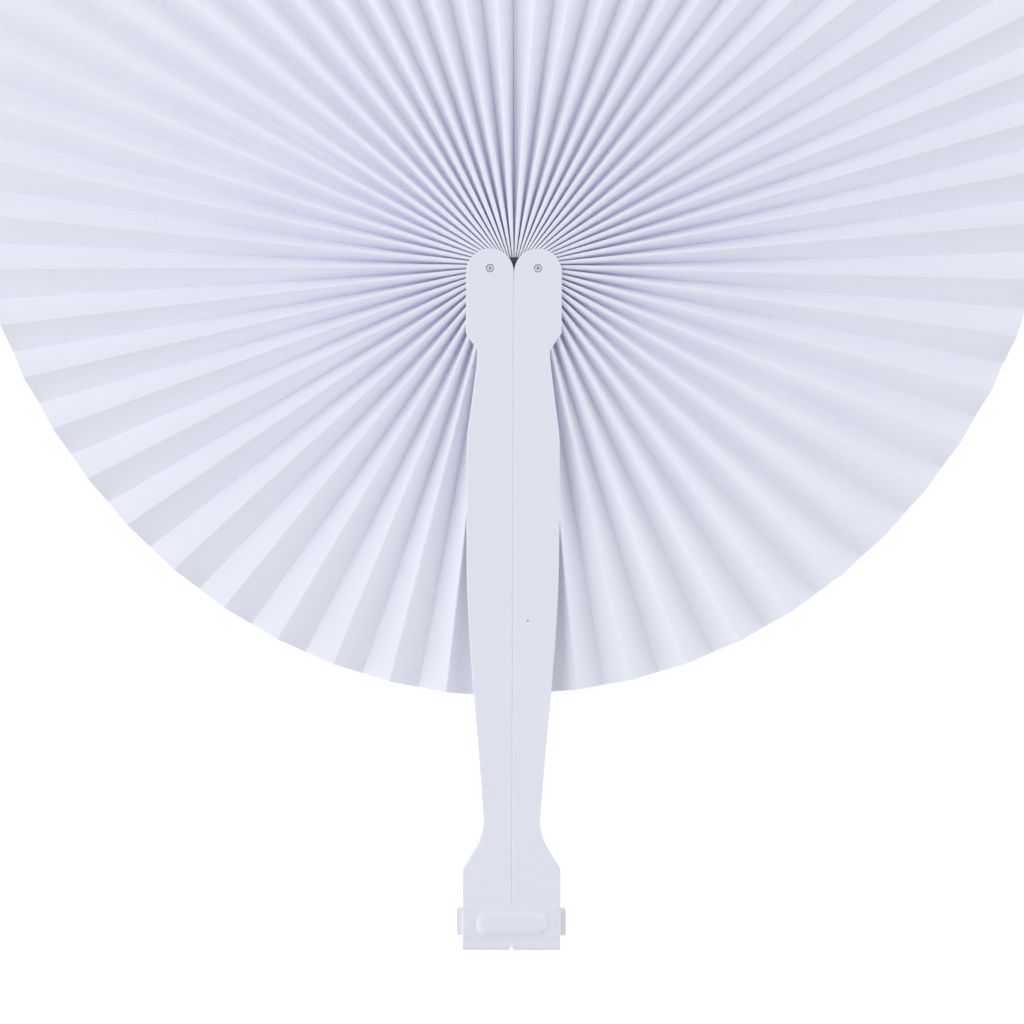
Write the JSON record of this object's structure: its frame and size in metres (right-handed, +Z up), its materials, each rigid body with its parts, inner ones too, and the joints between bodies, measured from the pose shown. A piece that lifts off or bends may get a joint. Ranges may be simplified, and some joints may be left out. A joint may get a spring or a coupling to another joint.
{
  "type": "pleated paper fan",
  "caption": "Round pleated paper fan opened to a full disc; its plastic channel arms meet side by side as the handle, pinned at the head and clipped at the foot.",
  "frame": {"origin": "on the surface the fan lies on, under the middle of its whole outline", "axes": "+X to the right across the leaf, +Y from the handle to the top of the leaf, +Z up, out of the front"},
  "size_m": [0.258, 0.3048, 0.0147],
  "materials": {
    "leaf_paper": "matt white paper",
    "arm_plastic": "satin white moulded plastic",
    "link_plastic": "dark brown moulded plastic",
    "pin_metal": "satin"
  },
  "bodies": {
    "root": {"paper_leaf": "leaf_paper", "left_arm": "arm_plastic", "right_arm": "arm_plastic", "clip": "arm_plastic", "front_link_plate": "link_plastic", "back_link_plate": "link_plastic", "left_front_pin": "pin_metal", "right_front_pin": "pin_metal", "left_back_pin": "pin_metal", "right_back_pin": "pin_metal"}
  },
  "joints": []
}
